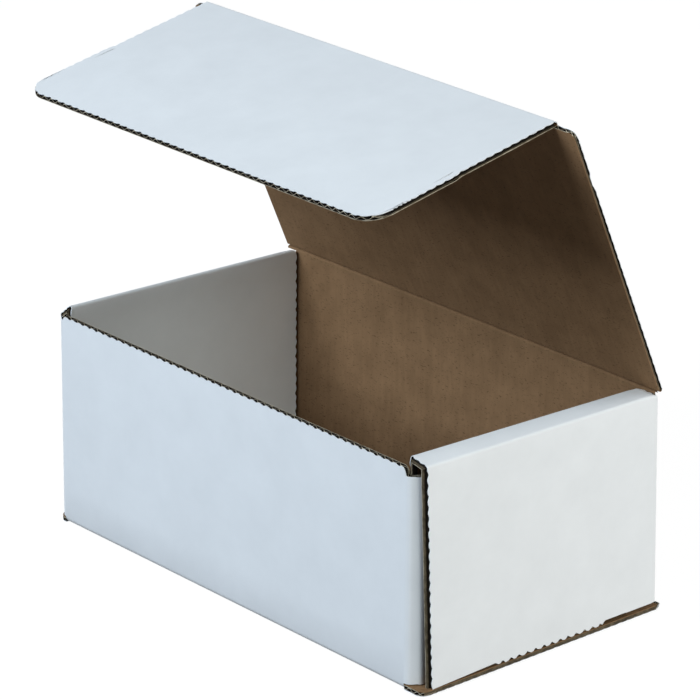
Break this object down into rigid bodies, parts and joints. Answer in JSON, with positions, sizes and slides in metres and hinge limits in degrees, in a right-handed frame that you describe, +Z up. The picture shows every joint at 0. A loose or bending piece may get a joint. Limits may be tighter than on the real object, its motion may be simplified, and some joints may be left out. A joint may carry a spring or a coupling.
{
  "type": "corrugated mailer box",
  "caption": "Open corrugated mailer box folded from one sheet, white outside and kraft inside, with roll-over end walls, a hinged lid and a hinged front flap.",
  "frame": {"origin": "centre of the tray's underside, on the surface it stands on", "axes": "+Z up, the front wall faces -Y, the box's length lies along X"},
  "size_m": [0.327, 0.2098, 0.3046],
  "materials": {
    "board_tray": "matte white liner outside, brown kraft liner inside",
    "board_lid": "matte white liner outside, brown kraft liner inside",
    "board_flap": "matte white liner outside, brown kraft liner inside"
  },
  "bodies": {
    "tray": {"tray": "board_tray"},
    "lid": {"lid": "board_lid"},
    "front_flap": {"front_flap": "board_flap"}
  },
  "joints": [
    {"name": "lid_hinge", "type": "hinge", "parent": "tray", "child": "lid", "pos_m": [0, 0.0904, 0.1343], "axis": [-1, 0, 0], "range_deg": [-63.8, 128]},
    {"name": "flap_hinge", "type": "hinge", "parent": "lid", "child": "front_flap", "pos_m": [0, 0.01632, 0.30306], "axis": [1, 0, 0], "range_deg": [-77, 12.5]}
  ]
}
